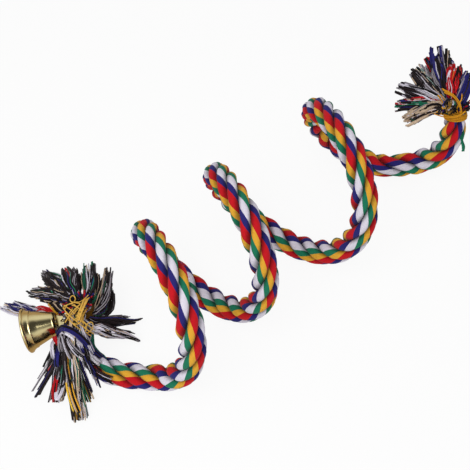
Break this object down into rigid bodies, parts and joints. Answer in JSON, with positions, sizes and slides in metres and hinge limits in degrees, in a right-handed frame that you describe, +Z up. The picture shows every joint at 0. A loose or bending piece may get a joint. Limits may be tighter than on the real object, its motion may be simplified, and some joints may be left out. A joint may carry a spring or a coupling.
{
  "type": "spiral rope bird perch",
  "caption": "Spiral rope perch for a cage bird: coloured cotton rope laid round a bendable wire, bound and frayed into tassels at its ends, with a brass bell on a ring at the lower end.",
  "frame": {"origin": "on the surface that the toy lies on, under the middle of its box", "axes": "+X along the coil from the bell end to the upper end, +Z up from the surface, +Y to the left of +X"},
  "size_m": [0.4336, 0.1828, 0.1257],
  "materials": {
    "rope_yarn": "twisted cotton yarn in white, navy, red, gold and green",
    "binding_yarn": "golden yarn",
    "dark_yarn": "frayed charcoal yarn",
    "light_yarn": "frayed white and grey yarn",
    "navy_yarn": "frayed navy yarn",
    "gold_yarn": "frayed gold and beige yarn",
    "red_yarn": "frayed red yarn",
    "green_yarn": "frayed green and charcoal yarn",
    "wire_steel": "plain drawn wire",
    "ring_steel": "bright plated wire",
    "bell_brass": "polished, with soft highlights"
  },
  "bodies": {
    "rope": {"rope_strand_1": "rope_yarn", "rope_strand_2": "rope_yarn", "rope_strand_3": "rope_yarn", "rope_strand_4": "rope_yarn", "core_wire": "wire_steel", "lower_whipping": "binding_yarn", "upper_whipping": "binding_yarn", "lower_knot": "binding_yarn", "bell_tie": "binding_yarn", "lower_lock_1": "navy_yarn", "lower_lock_2": "dark_yarn", "lower_lock_3": "dark_yarn", "lower_lock_4": "dark_yarn", "lower_lock_5": "dark_yarn", "lower_lock_6": "dark_yarn", "lower_lock_7": "dark_yarn", "lower_lock_8": "light_yarn", "lower_lock_9": "dark_yarn", "lower_lock_10": "gold_yarn", "lower_lock_11": "dark_yarn", "lower_lock_12": "light_yarn", "upper_lock_1": "gold_yarn", "upper_lock_2": "green_yarn", "upper_lock_3": "light_yarn", "upper_lock_4": "light_yarn", "upper_lock_5": "navy_yarn", "upper_lock_6": "dark_yarn", "upper_lock_7": "red_yarn", "upper_lock_8": "navy_yarn", "upper_lock_9": "gold_yarn"},
    "ring": {"bell_ring": "ring_steel"},
    "bell": {"bell_shell": "bell_brass", "clapper_staple": "wire_steel"},
    "clapper": {"clapper": "wire_steel"}
  },
  "joints": [
    {"name": "ring_lift", "type": "hinge", "parent": "rope", "child": "ring", "pos_m": [-0.16333, 0.02849, 0.02831], "axis": [0.454, 0.891, 0], "range_deg": [0, 20]},
    {"name": "bell_swing", "type": "hinge", "parent": "ring", "child": "bell", "pos_m": [-0.16953, 0.03165, 0.02757], "axis": [-0.0931, 0.0475, 0.9945], "range_deg": [-9, 4]},
    {"name": "clapper_swing", "type": "hinge", "parent": "bell", "child": "clapper", "pos_m": [-0.17671, 0.0353, 0.02673], "axis": [0.454, 0.891, 0], "range_deg": [0, 64]}
  ]
}
